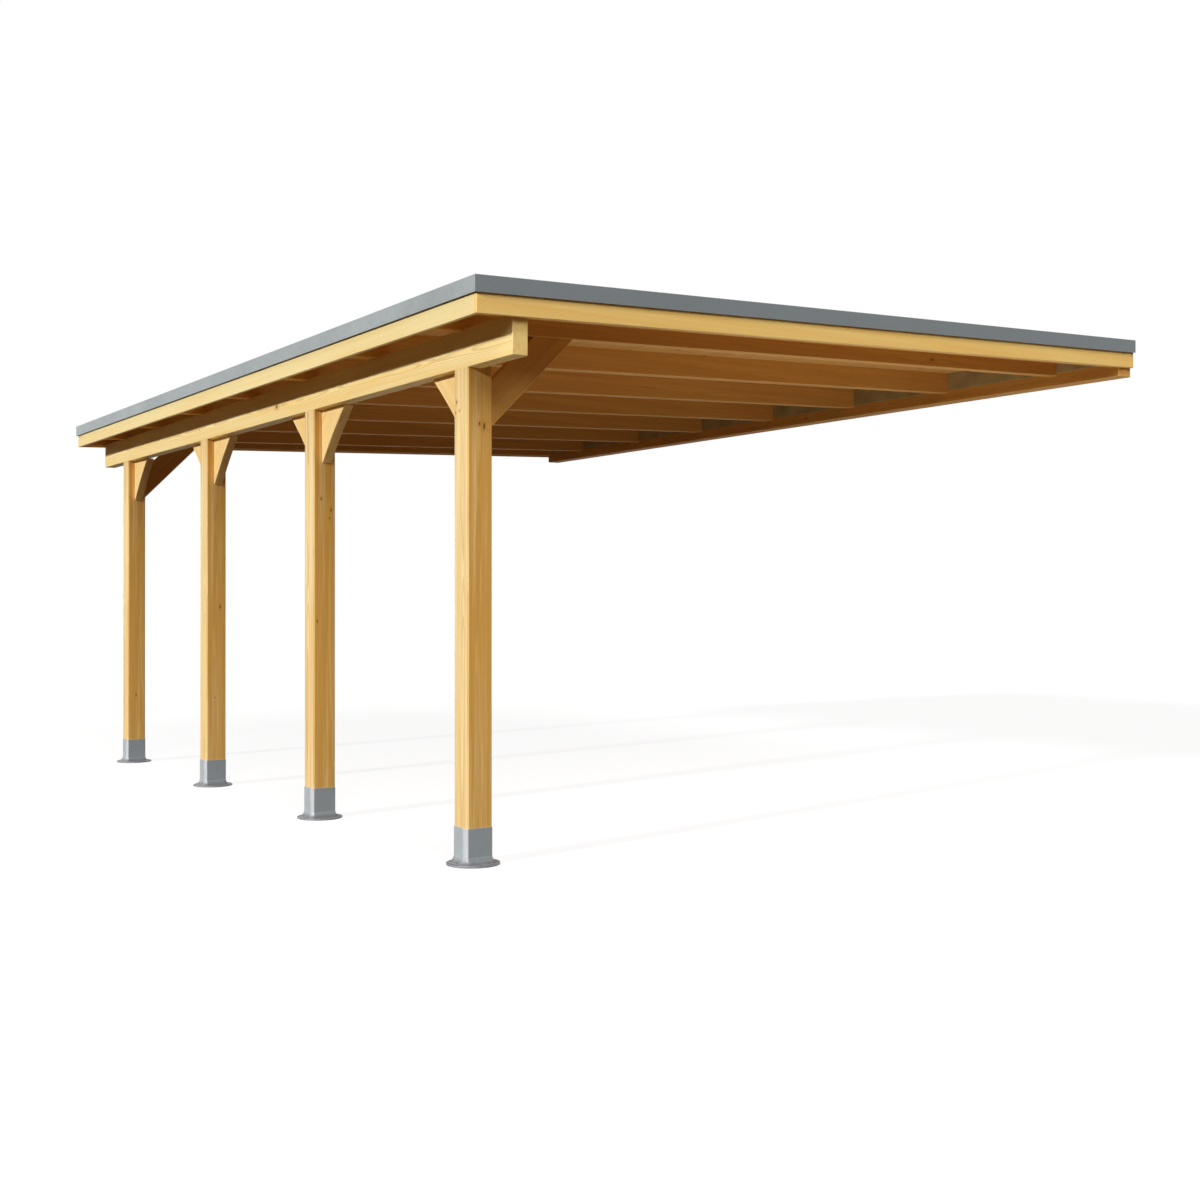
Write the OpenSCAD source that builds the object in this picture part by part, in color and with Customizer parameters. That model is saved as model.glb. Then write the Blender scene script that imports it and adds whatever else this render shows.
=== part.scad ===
// Lean-to timber carport: one row of four braced posts carries an eave beam,
// and low-pitched rafters run from that beam to a beam on the house wall.
// X runs from the posts to the wall, Y along the eave, Z up.
// The origin is under the middle of the first post, on the ground.

/* [Posts] */
// Side of the square timber posts
post_w = 120; // [90:1:160]
// Distance between the middles of two posts
post_spacing = 1630; // [1200:10:2200]
// Height of the eave beam's underside above the ground
beam_underside = 2100; // [1900:10:2600]
// Bevel along the posts' upright edges
post_chamfer = 6; // [1:0.5:12]

/* [Post bases] */
// Height of the steel sleeve's top above the ground
sleeve_top = 160; // [80:5:300]
// Thickness of the sleeve's wall
sleeve_wall = 2; // [1.5:0.5:5]
// Thickness of the round flange that the post stands on
flange_t = 8; // [5:0.5:20]
// Width of the flange's flat rim outside the skirt's corners
flange_margin = 3.5; // [2:0.5:20]
// Radius of the hollow curve in the skirt between sleeve and flange
skirt_r = 26; // [10:1:40]
// Blunt edge left at the skirt's upper and outer ends
skirt_lip = 1.5; // [1:0.5:4]

/* [Eave beam] */
// Width of the eave beam
beam_w = 72; // [50:1:90]
// Height of the eave beam
beam_h = 165; // [120:5:240]
// How far the beam runs past the first post, at the near gable
near_overhang = 370; // [250:5:600]
// How far the beam runs past the last post, at the far gable
far_overhang = 455; // [250:5:600]
// Height of the post's cheek that stands behind the beam
cheek_h = 135; // [60:5:150]

/* [Beam braces] */
// Thickness of the curved braces under the beam
brace_t = 50; // [30:1:60]
// How far the braces stand back from the posts' front faces
brace_setback = 45; // [10:1:55]
// Reach of a brace along the beam
brace_run = 278; // [180:2:450]
// Reach of a brace down its post
brace_drop = 270; // [180:2:450]
// Blunt end left at a brace's two tips
brace_tip = 6; // [4:1:30]
// Depth of the hollow curve in a brace's long edge
brace_hollow = 8; // [4:1:40]

/* [Rafter struts] */
// Thickness of the diagonal struts between end posts and rafters
strut_t = 50; // [30:1:60]
// Depth of a strut's end against its post
strut_seat = 195; // [80:1:240]
// Reach of a strut along its rafter, from the post's back face
strut_reach = 430; // [300:5:600]

/* [Rafters] */
// Pitch of the roof, rising towards the wall, in degrees
roof_pitch = 2.14; // [1:0.02:5]
// Width of a rafter
rafter_w = 60; // [40:1:80]
// Height of a rafter, measured plumb
rafter_h = 120; // [100:2:180]
// How deep the rafters are notched over the eave beam's front edge
eave_notch = 10; // [6:1:20]
// How deep the rafters are notched over the wall beam's front edge
wall_notch = 42; // [10:1:50]

/* [Wall beam] */
// Distance from the posts' front faces to the wall
wall_distance = 3912; // [2500:10:4500]
// Width of the wall beam
wall_beam_w = 100; // [60:2:140]
// Height of the wall beam
wall_beam_h = 95; // [70:5:200]

/* [Roof covering] */
// Thickness of the boarded deck on the rafters
deck_t = 18; // [12:1:30]
// Thickness of the grey roof membrane
membrane_t = 2; // [1:0.5:6]

/* [Fascia and trim] */
// Thickness of the timber fascia boards
fascia_t = 22; // [15:1:35]
// How far the fascia hangs below the rafters' undersides
fascia_drop = 8; // [0:1:40]
// Eave overhang from the posts' front faces to the fascia's outer face
eave_overhang = 183; // [100:1:500]
// Gap between the beam's ends and the gable fascias
gable_gap = 11; // [2:1:60]
// How far the deck runs out past the fascia
deck_lip = 10; // [4:1:30]
// Thickness of the metal edge trim
trim_t = 2; // [1:0.5:4]
// Height of the metal edge trim
trim_h = 69; // [30:1:110]
// Width of the trim's flat leg on the membrane
trim_lap = 80; // [40:5:150]

/* [Hidden] */
$fn = 96;

// Posts
post_count = 4;
last_post = post_count - 1;
half_post = post_w / 2;
function post_y(i) = i * post_spacing;

// Corner radius of the sleeve, whose wall follows the bevelled post
sleeve_w = post_w + 2 * sleeve_wall;
sleeve_r = post_chamfer + sleeve_wall;
sleeve_straight = sleeve_w / 2 - sleeve_r;

// The skirt stands off the sleeve by its hollow and its blunt edge; the flange reaches past its corners
skirt_reach = skirt_r + skirt_lip;
flange_r = sleeve_straight * sqrt(2) + sleeve_r + skirt_reach + flange_margin;

// Eave beam, flush with the posts' front faces
beam_front = -half_post;
beam_back = beam_front + beam_w;
beam_top = beam_underside + beam_h;
beam_start = -half_post - near_overhang;
beam_end = post_y(last_post) + half_post + far_overhang;

// Braces
brace_front = -half_post + brace_setback;
brace_back = brace_front + brace_t;
brace_chord = norm([brace_run - brace_tip, brace_drop - brace_tip]);
brace_radius = (pow(brace_chord / 2, 2) + pow(brace_hollow, 2)) / (2 * brace_hollow);

// Roof heights are measured plumb above the line of the rafters' undersides
roof_slope = tan(roof_pitch);
underside_at_front = beam_top - eave_notch;
function underside(x) = underside_at_front + roof_slope * (x - beam_front);
deck_low = rafter_h;
deck_high = deck_low + deck_t;
membrane_high = deck_high + membrane_t;
trim_high = membrane_high + trim_t;
trim_low = trim_high - trim_h;

// Roof lines across X, from the eave to the wall
wall_x = beam_front + wall_distance;
fascia_x = beam_front - eave_overhang;
rafter_foot_x = fascia_x + fascia_t;
deck_x = fascia_x - deck_lip;
trim_x = deck_x - trim_t;
wall_trim_x = wall_x - trim_t;
wall_beam_front = wall_x - wall_beam_w;
wall_beam_top = underside(wall_beam_front) + wall_notch;
wall_beam_low = wall_beam_top - wall_beam_h;

// Roof lines along Y, each given for the near gable and the far gable
rafter_span = [beam_start - gable_gap, beam_end + gable_gap];
fascia_span = [rafter_span[0] - fascia_t, rafter_span[1] + fascia_t];
deck_span = [fascia_span[0] - deck_lip, fascia_span[1] + deck_lip];
trim_span = [deck_span[0] - trim_t, deck_span[1] + trim_t];
lap_span = [deck_span[0] + trim_lap, deck_span[1] - trim_lap];

// Rafters: one over each post, one between, and one behind each gable fascia
rafters_per_bay = 2;
rafter_count = last_post * rafters_per_bay + 1;
rafter_pitch = post_spacing / rafters_per_bay;
function rafter_y(i) = (i - 1) * rafter_pitch;

timber = "BurlyWood";
planed_board = "Wheat";
zinc = "LightSlateGray";
galvanised = "Silver";

// A square with bevelled corners
module bevelled_square(side, bevel) {
    half = side / 2;
    inner = half - bevel;
    polygon([
        [half, -inner], [half, inner], [inner, half], [-inner, half],
        [-half, inner], [-half, -inner], [-inner, -half], [inner, -half]
    ]);
}

// A square with round corners
module rounded_square(side, radius) {
    inner = side - 2 * radius;
    square([side, inner], center = true);
    square([inner, side], center = true);
    for (x = [-1, 1], y = [-1, 1])
        translate([x * inner / 2, y * inner / 2])
            circle(radius);
}

// A profile drawn in X and Z, carried along Y from y_low to y_high
module along_y(y_low, y_high) {
    translate([0, y_high, 0])
        rotate([90, 0, 0])
            linear_extrude(y_high - y_low)
                children();
}

// A strip of the sloping roof with plumb ends, low and high above the rafters' undersides
module roof_strip(x_range, y_range, low, high) {
    along_y(y_range[0], y_range[1])
        polygon([
            [x_range[0], underside(x_range[0]) + low],
            [x_range[1], underside(x_range[1]) + low],
            [x_range[1], underside(x_range[1]) + high],
            [x_range[0], underside(x_range[0]) + high]
        ]);
}

// A post stands in its base, and its cheek rises behind the beam
module post(i) {
    color(timber)
        translate([0, post_y(i), 0]) {
            difference() {
                translate([0, 0, flange_t])
                    linear_extrude(beam_underside + cheek_h - flange_t)
                        bevelled_square(post_w, post_chamfer);
                translate([beam_front - post_w, -post_w, beam_underside])
                    cube([post_w + beam_w, 2 * post_w, beam_h]);
            }
        }
}

// Profile of the skirt outside the sleeve's face, rooted in the sleeve's wall
module skirt_profile() {
    root = sleeve_wall / 2;
    difference() {
        translate([-root, 0])
            square([skirt_reach + root, skirt_reach]);
        translate([skirt_reach, skirt_reach])
            circle(skirt_r);
    }
}

// The hollow skirt that flares out all around the sleeve
module skirt() {
    for (turn = [0, 90, 180, 270])
        rotate(turn) {
            translate([sleeve_w / 2, 0, 0])
                along_y(-sleeve_straight, sleeve_straight)
                    skirt_profile();
            translate([sleeve_straight, sleeve_straight, 0])
                rotate_extrude(angle = 90)
                    translate([sleeve_r, 0])
                        skirt_profile();
        }
}

// A welded base: a round flange, a sleeve around the post's foot, and a skirt between the two
module post_base(i) {
    color(galvanised)
        translate([0, post_y(i), 0]) {
            cylinder(h = flange_t, r = flange_r);
            translate([0, 0, flange_t]) {
                skirt();
                linear_extrude(sleeve_top - flange_t)
                    difference() {
                        rounded_square(sleeve_w, sleeve_r);
                        bevelled_square(post_w, post_chamfer);
                    }
            }
        }
}

// The eave beam on the posts' heads
module eave_beam() {
    color(timber)
        translate([beam_front, beam_start, beam_underside])
            cube([beam_w, beam_end - beam_start, beam_h]);
}

// Outline of a beam brace: along the beam in X, down the post in -Y, with a hollow long edge
module brace_outline() {
    middle = [(brace_run + brace_tip) / 2, -(brace_drop + brace_tip) / 2];
    outward = [brace_drop - brace_tip, -(brace_run - brace_tip)] / brace_chord;
    difference() {
        polygon([
            [0, 0], [brace_run, 0], [brace_run, -brace_tip],
            [brace_tip, -brace_drop], [0, -brace_drop]
        ]);
        translate(middle + outward * (brace_radius - brace_hollow))
            circle(brace_radius, $fn = 180);
    }
}

// A brace from post i; side is 1 towards the far gable and -1 towards the near gable
module beam_brace(i, side) {
    color(timber)
        translate([brace_front, post_y(i) + side * half_post, beam_underside])
            mirror([0, side < 0 ? 1 : 0, 0])
                rotate([90, 0, 90])
                    linear_extrude(brace_t)
                        brace_outline();
}

// A straight strut from the back of post i up to the rafter above it
module rafter_strut(i) {
    foot_x = half_post;
    toe_x = foot_x + strut_reach;
    toe_z = underside(toe_x);
    rise = strut_reach;
    heel_z = toe_z - rise + strut_seat;
    heel_x = foot_x + (underside(foot_x) - heel_z) / (1 - roof_slope);
    color(timber)
        along_y(post_y(i) - strut_t / 2, post_y(i) + strut_t / 2)
            polygon([
                [foot_x, toe_z - rise], [toe_x, toe_z],
                [heel_x, underside(heel_x)], [foot_x, heel_z]
            ]);
}

// A rafter between y_low and y_high, seated on the eave beam and on the wall beam
module rafter(y_low, y_high) {
    color(timber)
        difference() {
            roof_strip([rafter_foot_x, wall_trim_x], [y_low, y_high], 0, rafter_h);
            translate([beam_front, y_low - rafter_w, beam_top - beam_h])
                cube([beam_w, 3 * rafter_w, beam_h]);
            translate([wall_beam_front, y_low - rafter_w, wall_beam_low])
                cube([2 * wall_beam_w, 3 * rafter_w, wall_beam_h]);
        }
}

// Rafter i of the row, with its middle over a post or halfway between two posts
module row_rafter(i) {
    rafter(rafter_y(i) - rafter_w / 2, rafter_y(i) + rafter_w / 2);
}

module near_gable_rafter() {
    rafter(rafter_span[0], rafter_span[0] + rafter_w);
}

module far_gable_rafter() {
    rafter(rafter_span[1] - rafter_w, rafter_span[1]);
}

// The beam that is bolted to the wall
module wall_beam() {
    color(timber)
        translate([wall_beam_front, rafter_span[0], wall_beam_low])
            cube([wall_beam_w, rafter_span[1] - rafter_span[0], wall_beam_h]);
}

// The boarded deck on the rafters
module roof_deck() {
    color(timber)
        roof_strip([deck_x, wall_trim_x], deck_span, deck_low, deck_high);
}

// The membrane on the deck
module roof_membrane() {
    color("DimGray")
        roof_strip([deck_x, wall_trim_x], deck_span, deck_high, membrane_high);
}

// The fascia along the eave, between the gable fascias
module eave_fascia() {
    color(planed_board)
        roof_strip([fascia_x, rafter_foot_x], rafter_span, -fascia_drop, deck_low);
}

// A gable fascia runs from the eave to the wall
module gable_fascia(y_range) {
    color(planed_board)
        roof_strip([fascia_x, wall_trim_x], y_range, -fascia_drop, deck_low);
}

module near_gable_fascia() {
    gable_fascia([fascia_span[0], rafter_span[0]]);
}

module far_gable_fascia() {
    gable_fascia([rafter_span[1], fascia_span[1]]);
}

// The eave trim: an upright leg in front of the deck and a flat leg on the membrane
module eave_trim() {
    color(zinc) {
        roof_strip([trim_x, deck_x], deck_span, trim_low, trim_high);
        roof_strip([deck_x, deck_x + trim_lap], lap_span, membrane_high, trim_high);
    }
}

// A gable trim covers the ends of the eave trim; leg and lap are its two ranges across Y
module gable_trim(leg, lap) {
    color(zinc) {
        roof_strip([trim_x, wall_x], leg, trim_low, trim_high);
        roof_strip([deck_x, wall_trim_x], lap, membrane_high, trim_high);
    }
}

module near_gable_trim() {
    gable_trim([trim_span[0], deck_span[0]], [deck_span[0], lap_span[0]]);
}

module far_gable_trim() {
    gable_trim([deck_span[1], trim_span[1]], [lap_span[1], deck_span[1]]);
}

// The wall trim closes the roof between the wall beam and the membrane
module wall_trim() {
    color(zinc) {
        along_y(rafter_span[0], rafter_span[1])
            polygon([
                [wall_trim_x, wall_beam_top], [wall_x, wall_beam_top],
                [wall_x, underside(wall_x) + trim_high], [wall_trim_x, underside(wall_trim_x) + trim_high]
            ]);
        roof_strip([wall_trim_x - trim_lap, wall_trim_x], lap_span, membrane_high, trim_high);
    }
}

post(0);  // post_1
post(1);  // post_2
post(2);  // post_3
post(3);  // post_4
post_base(0);  // post_base_1
post_base(1);  // post_base_2
post_base(2);  // post_base_3
post_base(3);  // post_base_4
eave_beam();
beam_brace(0, 1);  // brace_1_far
beam_brace(1, -1);  // brace_2_near
beam_brace(1, 1);  // brace_2_far
beam_brace(2, -1);  // brace_3_near
beam_brace(2, 1);  // brace_3_far
beam_brace(3, -1);  // brace_4_near
rafter_strut(0);  // strut_1
rafter_strut(3);  // strut_4
near_gable_rafter();
row_rafter(1);  // rafter_1
row_rafter(2);  // rafter_2
row_rafter(3);  // rafter_3
row_rafter(4);  // rafter_4
row_rafter(5);  // rafter_5
row_rafter(6);  // rafter_6
row_rafter(7);  // rafter_7
far_gable_rafter();
wall_beam();
roof_deck();
roof_membrane();
eave_fascia();
near_gable_fascia();
far_gable_fascia();
eave_trim();
near_gable_trim();
far_gable_trim();
wall_trim();
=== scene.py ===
"""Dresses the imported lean-to carport.

Planed softwood posts, beams and rafters, a boarded deck, a grey roof membrane,
folded zinc edges and galvanised post bases, on a plain pale floor.
"""

import logging
import math
from collections.abc import Sequence
from dataclasses import dataclass, field
from enum import Enum

import bmesh
import bpy
from mathutils import Euler, Matrix, Vector


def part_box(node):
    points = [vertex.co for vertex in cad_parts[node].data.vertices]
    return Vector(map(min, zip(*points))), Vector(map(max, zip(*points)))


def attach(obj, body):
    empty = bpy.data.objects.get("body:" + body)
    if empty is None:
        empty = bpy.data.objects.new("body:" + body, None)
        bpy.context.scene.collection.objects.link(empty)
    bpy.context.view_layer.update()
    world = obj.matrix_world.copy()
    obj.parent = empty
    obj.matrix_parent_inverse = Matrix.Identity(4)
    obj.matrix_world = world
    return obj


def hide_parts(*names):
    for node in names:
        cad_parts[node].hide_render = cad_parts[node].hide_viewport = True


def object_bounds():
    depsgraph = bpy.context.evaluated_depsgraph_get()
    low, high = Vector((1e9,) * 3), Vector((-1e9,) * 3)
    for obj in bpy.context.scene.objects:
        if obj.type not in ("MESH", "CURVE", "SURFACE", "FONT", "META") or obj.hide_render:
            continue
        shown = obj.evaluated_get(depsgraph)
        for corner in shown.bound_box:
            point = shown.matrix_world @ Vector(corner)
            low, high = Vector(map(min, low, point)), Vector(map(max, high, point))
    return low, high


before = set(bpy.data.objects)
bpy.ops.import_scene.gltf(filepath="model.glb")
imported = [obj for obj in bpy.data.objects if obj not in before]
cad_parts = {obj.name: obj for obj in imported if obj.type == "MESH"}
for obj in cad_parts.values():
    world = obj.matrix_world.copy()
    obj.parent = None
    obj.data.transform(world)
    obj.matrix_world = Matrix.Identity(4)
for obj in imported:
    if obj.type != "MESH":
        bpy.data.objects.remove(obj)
CAD_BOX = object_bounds()

LOG = logging.getLogger("carport")
BODY = "root"
ARRIS = "arris"
MERGE_DISTANCE = 1e-5
FLAT_ANGLE = math.radians(0.2)
SHARP_ANGLE = math.radians(20.0)
SEED_STEP = 17.0
# A slanted axis that sets the order of a mesh's points and faces.
ORDER_AXIS = Vector((1.0, 0.37, 0.13))
# The part of the largest knot's radius that stands for no knot.
NO_KNOT = 0.0002
# The places of a Mix node's colour sockets.
MIX_FIRST, MIX_SECOND, MIX_RESULT = 6, 7, 2

Colour = tuple[float, float, float]
Point = tuple[float, float, float]
Socket = bpy.types.NodeSocket
Shape = bmesh.types.BMesh
Material = bpy.types.Material

BLACK: Colour = (0.0, 0.0, 0.0)
WHITE: Colour = (1.0, 1.0, 1.0)
DOWN_THE_ROOF: Point = (1.0, 0.0, 0.0)
ALONG_THE_EAVE: Point = (0.0, 1.0, 0.0)


class Slot(Enum):
    """The record's material slots."""

    FRAME = "frame_timber"
    FASCIA = "fascia_boards"
    DECK = "deck_boards"
    MEMBRANE = "membrane"
    TRIM = "edge_trim"
    BASE = "base_steel"


class Grain(Enum):
    """Turns that bring the local Z axis of a timber's pattern onto its grain."""

    UPRIGHT = (0.0, 0.0, 0.0)
    ALONG_EAVE = (-math.pi / 2, 0.0, 0.0)
    DOWN_ROOF = (0.0, math.pi / 2, 0.0)
    BRACE_FAR = (-math.pi / 4, 0.0, 0.0)
    BRACE_NEAR = (math.pi / 4, 0.0, 0.0)
    STRUT = (0.0, math.pi / 4, 0.0)


class Face(Enum):
    """The faces of a post that have knots at chosen places."""

    NEAR = "near gable"
    EAVE = "eave"


def rgba(colour: Colour) -> tuple[float, float, float, float]:
    """An opaque colour for a socket."""
    return (*colour, 1.0)


class Wiring:
    """A node tree, wired by short calls.

    Its methods take sockets or plain values, and most of them return an output socket.
    """

    def __init__(self, tree: bpy.types.NodeTree) -> None:
        """Takes up a tree."""
        self.tree = tree

    def plug(self, socket: Socket, value: object) -> None:
        """Links a socket, or sets its value.

        Args:
            socket: An input.
            value: An output to link to it, or a plain value.
        """
        if isinstance(value, Socket):
            self.tree.links.new(value, socket)
        else:
            socket.default_value = value

    def math(self, operation: str, *values: object, clamp: bool = False) -> Socket:
        """A Math node.

        Args:
            operation: The node's operation.
            values: Its inputs in order.
            clamp: Whether the result is kept from 0 to 1.

        Returns:
            The result.
        """
        node = self.tree.nodes.new("ShaderNodeMath")
        node.operation = operation
        node.use_clamp = clamp
        for socket, value in zip(node.inputs, values):
            self.plug(socket, value)
        return node.outputs["Value"]

    def times(self, first: object, second: object) -> Socket:
        """A product of two numbers."""
        return self.math("MULTIPLY", first, second)

    def mix(self, factor: object, first: object, second: object) -> Socket:
        """A mix of two colours.

        Args:
            factor: The second one's share.
            first: A colour.
            second: A colour.

        Returns:
            The mixed colour.
        """
        node = self.tree.nodes.new("ShaderNodeMix")
        node.data_type = "RGBA"
        self.plug(node.inputs["Factor"], factor)
        self.plug(node.inputs[MIX_FIRST], first)
        self.plug(node.inputs[MIX_SECOND], second)
        return node.outputs[MIX_RESULT]

    def by_ray(self, seen: Colour, bounced: Colour) -> Socket:
        """A colour that differs by the kind of ray that meets it.

        Args:
            seen: The colour for rays from the camera, and from metal and glass.
            bounced: The colour for soft light that it throws on other things.

        Returns:
            The chosen colour.
        """
        path = self.tree.nodes.new("ShaderNodeLightPath")
        share = path.outputs["Is Camera Ray"]
        for kind in ("Is Glossy Ray", "Is Transmission Ray"):
            share = self.math("MAXIMUM", share, path.outputs[kind])
        return self.mix(share, rgba(bounced), rgba(seen))


class Graph(Wiring):
    """A material's nodes, with the patterns that finishes are made of."""

    def __init__(self, name: str) -> None:
        """Starts an empty material with a surface shader.

        Args:
            name: The material's name.
        """
        self.material = bpy.data.materials.new(name)
        self.material.use_nodes = True
        super().__init__(self.material.node_tree)
        self.tree.nodes.clear()
        output = self.tree.nodes.new("ShaderNodeOutputMaterial")
        self.shader = self.tree.nodes.new("ShaderNodeBsdfPrincipled")
        self.tree.links.new(self.shader.outputs["BSDF"], output.inputs["Surface"])

    def surface(self, **inputs: object) -> None:
        """Sets the surface shader's inputs.

        Args:
            inputs: Values or sockets by the input's name, with _ for a space.
        """
        for name, value in inputs.items():
            self.plug(self.shader.inputs[name.replace("_", " ")], value)

    def vector(self, operation: str, *values: object) -> Socket:
        """A Vector Math node.

        Args:
            operation: The node's operation.
            values: Its vector inputs in order.

        Returns:
            The result, a number for a length or a dot product.
        """
        node = self.tree.nodes.new("ShaderNodeVectorMath")
        node.operation = operation
        for socket, value in zip(node.inputs, values):
            self.plug(socket, value)
        single = operation in {"LENGTH", "DOT_PRODUCT"}
        return node.outputs["Value" if single else "Vector"]

    def split(self, vector: Socket) -> list[Socket]:
        """Takes a vector apart.

        Args:
            vector: The vector.

        Returns:
            Its three parts.
        """
        node = self.tree.nodes.new("ShaderNodeSeparateXYZ")
        self.plug(node.inputs["Vector"], vector)
        return list(node.outputs)

    def drawn_out(self, place: object, share: float) -> Socket:
        """A place whose Z counts for a share, which draws a pattern out along Z."""
        return self.vector("MULTIPLY", place, (1.0, 1.0, share))

    def vary(self, noise: object, amount: float, base: object, clamp: bool = False) -> Socket:
        """A base that a noise from 0 to 1 moves up and down by half an amount."""
        return self.math("MULTIPLY_ADD", self.math("SUBTRACT", noise, 0.5), amount, base, clamp=clamp)

    def noise(self, vector: object, scale: float, detail: float = 2.0) -> Socket:
        """Noise between 0 and 1 at so many features a metre."""
        return self.noise_node(vector, scale, detail).outputs["Fac"]

    def streaks(self, place: object, scale: float, share: float, detail: float = 2.0) -> Socket:
        """Noise that is drawn out along Z."""
        return self.noise(self.drawn_out(place, share), scale, detail)

    def noise_node(self, vector: object, scale: float, detail: float = 2.0) -> bpy.types.Node:
        """A Noise Texture node.

        Args:
            vector: Where it is read.
            scale: Features a metre.
            detail: Finer layers.

        Returns:
            The node.
        """
        node = self.tree.nodes.new("ShaderNodeTexNoise")
        self.plug(node.inputs["Vector"], vector)
        node.inputs["Scale"].default_value = scale
        node.inputs["Detail"].default_value = detail
        return node

    def cells(self, vector: object, scale: float) -> Socket:
        """One random number for each cell of a Voronoi pattern.

        Args:
            vector: Where it is read.
            scale: Cells a metre.

        Returns:
            A number from 0 to 1.
        """
        node = self.tree.nodes.new("ShaderNodeTexVoronoi")
        self.plug(node.inputs["Vector"], vector)
        node.inputs["Scale"].default_value = scale
        return self.split(node.outputs["Color"])[0]

    def spread(self, value: object, low: float, high: float, to_low: float, to_high: float) -> Socket:
        """A smooth step from one range to another.

        Args:
            value: The number that is mapped.
            low: Where the step starts.
            high: Where it ends.
            to_low: The result at the start.
            to_high: The result at the end.

        Returns:
            The mapped number.
        """
        node = self.tree.nodes.new("ShaderNodeMapRange")
        node.interpolation_type = "SMOOTHSTEP"
        for socket, given in zip(node.inputs, (value, low, high, to_low, to_high)):
            self.plug(socket, given)
        return node.outputs["Result"]

    def place(self, centre: Vector, turn: Grain) -> Socket:
        """Object coordinates about a point, with Z along a timber's grain.

        Args:
            centre: The point that becomes the origin.
            turn: The direction of the grain.

        Returns:
            The turned coordinates.
        """
        coordinate = self.tree.nodes.new("ShaderNodeTexCoord")
        mapping = self.tree.nodes.new("ShaderNodeMapping")
        mapping.vector_type = "TEXTURE"
        mapping.inputs["Location"].default_value = centre
        mapping.inputs["Rotation"].default_value = turn.value
        self.plug(mapping.inputs["Vector"], coordinate.outputs["Object"])
        return mapping.outputs["Vector"]

    def join(self, x: object, y: object, z: object) -> Socket:
        """Puts a vector together.

        Args:
            x: Its first part.
            y: Its second part.
            z: Its third part.

        Returns:
            The vector.
        """
        node = self.tree.nodes.new("ShaderNodeCombineXYZ")
        for socket, value in zip(node.inputs, (x, y, z)):
            self.plug(socket, value)
        return node.outputs["Vector"]

    def on_edges(self, share: object) -> Socket:
        """A share on rounded edges, and none elsewhere.

        Args:
            share: The share there.

        Returns:
            The share anywhere.
        """
        node = self.tree.nodes.new("ShaderNodeAttribute")
        node.attribute_name = ARRIS
        return self.times(node.outputs["Fac"], share)

    def facing(self, axis: Point) -> Socket:
        """How squarely a face looks along an axis, either way."""
        geometry = self.tree.nodes.new("ShaderNodeNewGeometry")
        return self.math("ABSOLUTE", self.vector("DOT_PRODUCT", geometry.outputs["Normal"], axis))

    def bump(self, height: object, strength: float, distance: float) -> None:
        """Raises the surface by a height.

        Args:
            height: The height from 0 to 1.
            strength: The bump's strength.
            distance: What a height of 1 stands for, in metres.
        """
        node = self.tree.nodes.new("ShaderNodeBump")
        node.inputs["Strength"].default_value = strength
        node.inputs["Distance"].default_value = distance
        self.plug(node.inputs["Height"], height)
        self.plug(self.shader.inputs["Normal"], node.outputs["Normal"])


@dataclass(frozen=True)
class Knot:
    """A knot at a chosen place on a post.

    Attributes:
        face: The face that it shows on.
        across: Its distance from the middle of that face, in metres.
        height: Its height above the ground, in metres.
        radius: Its radius, in metres.
        stretch: How much longer it is along the grain.
        dark: How dark it is, from 0 to 1.
        edge: Where it fades out, in its radii.
        halo: Where the colour around it fades out, in its radii.
        halo_dark: How dark that colour is, from 0 to 1.
    """

    face: Face
    across: float
    height: float
    radius: float
    stretch: float = 2.0
    dark: float = 1.0
    edge: tuple[float, float] = (0.5, 1.2)
    halo: tuple[float, float] = (1.0, 3.5)
    halo_dark: float = 0.9

    def place(self, low: Vector, high: Vector) -> Vector:
        """Where the knot is on a post.

        Args:
            low: The post's lowest corner.
            high: Its highest corner.

        Returns:
            The knot's middle.
        """
        if self.face is Face.NEAR:
            return Vector(((low.x + high.x) / 2 + self.across, low.y, self.height))
        return Vector((low.x, (low.y + high.y) / 2 + self.across, self.height))


Spot = tuple[Knot, Vector]


@dataclass(frozen=True)
class Cut:
    """How one timber lies in its tree.

    Attributes:
        pith: A point on the pith, in metres.
        grain: The direction of the grain.
        seed: Sets this timber's own knots.
        heading: The way that branches leave the pith, in radians, or None for any of four sides.
        boards: The width of boards that each start the pattern anew, or 0 for one timber.
    """

    pith: Vector
    grain: Grain
    seed: float
    heading: float | None = None
    boards: float = 0.0


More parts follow.
